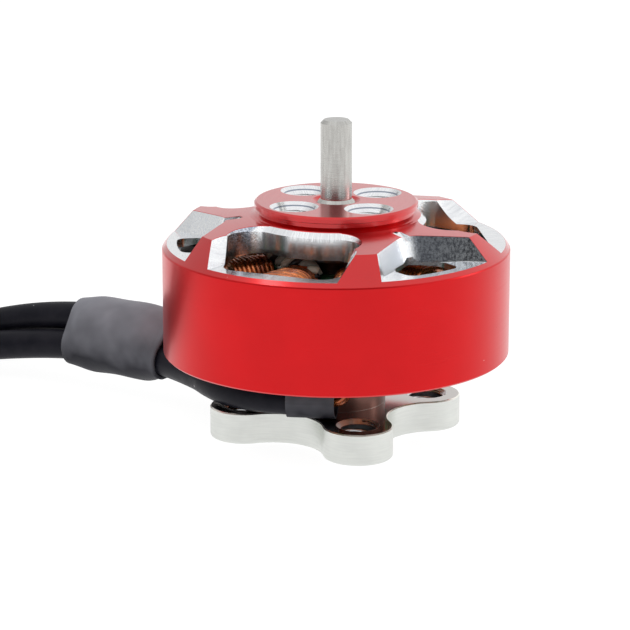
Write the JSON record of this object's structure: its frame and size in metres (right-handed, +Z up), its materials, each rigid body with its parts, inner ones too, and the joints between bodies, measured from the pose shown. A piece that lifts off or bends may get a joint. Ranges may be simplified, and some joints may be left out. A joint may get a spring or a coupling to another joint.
{
  "type": "brushless outrunner motor",
  "caption": "Small outrunner motor: spinning bell with machined windows and output shaft on a fixed wound stator, cross-shaped mounting base with tapped holes, leads out of one side.",
  "frame": {"origin": "on the shaft's axis, at the underside of the mounting base", "axes": "+Z up along the shaft, out of the propeller seat; the leads leave at 148 degrees counter-clockwise from +X"},
  "size_m": [0.0566, 0.0284, 0.0152],
  "materials": {
    "anodised_red": "satin anodised, polished cut facets",
    "flux_steel": "plated",
    "magnet_nickel": "nickel plated",
    "shaft_steel": "ground",
    "clip_steel": "spring steel",
    "race_steel": "ground bearing steel",
    "shield_steel": "pressed sheet",
    "ball_steel": "polished",
    "cage_steel": "pressed",
    "base_aluminium": "machined satin",
    "lamination_steel": "stacked sheet",
    "insulator_green": "epoxy coating",
    "copper_enamel": "enamelled copper wire",
    "lead_silicone": "silicone insulation",
    "heat_shrink": "shrunk sleeve",
    "tinned_copper": "tinned strands"
  },
  "bodies": {
    "stator": {"base": "base_aluminium", "stator_core": "lamination_steel", "insulator_top": "insulator_green", "insulator_bottom": "insulator_green", "coil_1": "copper_enamel", "coil_2": "copper_enamel", "coil_3": "copper_enamel", "coil_4": "copper_enamel", "coil_5": "copper_enamel", "coil_6": "copper_enamel", "coil_7": "copper_enamel", "coil_8": "copper_enamel", "coil_9": "copper_enamel", "upper_bearing_outer_race": "race_steel", "lower_bearing_outer_race": "race_steel", "upper_bearing_shields": "shield_steel", "lower_bearing_shields": "shield_steel", "phase_tail_1": "copper_enamel", "phase_tail_2": "copper_enamel", "phase_tail_3": "copper_enamel", "joint_sleeve_1": "heat_shrink", "joint_sleeve_2": "heat_shrink", "joint_sleeve_3": "heat_shrink", "lead_wire_1": "lead_silicone", "lead_wire_2": "lead_silicone", "lead_wire_3": "lead_silicone", "lead_tip_1": "tinned_copper", "lead_tip_2": "tinned_copper", "lead_tip_3": "tinned_copper", "lead_sleeve": "heat_shrink"},
    "rotor": {"bell": "anodised_red", "flux_ring": "flux_steel", "magnet_01": "magnet_nickel", "magnet_02": "magnet_nickel", "magnet_03": "magnet_nickel", "magnet_04": "magnet_nickel", "magnet_05": "magnet_nickel", "magnet_06": "magnet_nickel", "magnet_07": "magnet_nickel", "magnet_08": "magnet_nickel", "magnet_09": "magnet_nickel", "magnet_10": "magnet_nickel", "magnet_11": "magnet_nickel", "magnet_12": "magnet_nickel", "shaft": "shaft_steel", "shaft_clip": "clip_steel", "upper_shim": "clip_steel", "lower_shim": "clip_steel", "upper_bearing_inner_race": "race_steel", "lower_bearing_inner_race": "race_steel"},
    "upper_cage": {"upper_bearing_balls": "ball_steel", "upper_bearing_cage": "cage_steel"},
    "lower_cage": {"lower_bearing_balls": "ball_steel", "lower_bearing_cage": "cage_steel"}
  },
  "joints": [
    {"name": "rotor_spin", "type": "hinge", "parent": "stator", "child": "rotor", "pos_m": [0, 0, 0.0065], "axis": [0, 0, 1], "continuous": true},
    {"name": "upper_cage_spin", "type": "hinge", "parent": "stator", "child": "upper_cage", "pos_m": [0, 0, 0.00785], "axis": [0, 0, 1], "continuous": true},
    {"name": "lower_cage_spin", "type": "hinge", "parent": "stator", "child": "lower_cage", "pos_m": [0, 0, 0.0022], "axis": [0, 0, 1], "continuous": true}
  ],
  "couplings": [
    {"joint": "upper_cage_spin", "follows": "rotor_spin", "ratio": 0.3618},
    {"joint": "lower_cage_spin", "follows": "rotor_spin", "ratio": 0.3618}
  ]
}
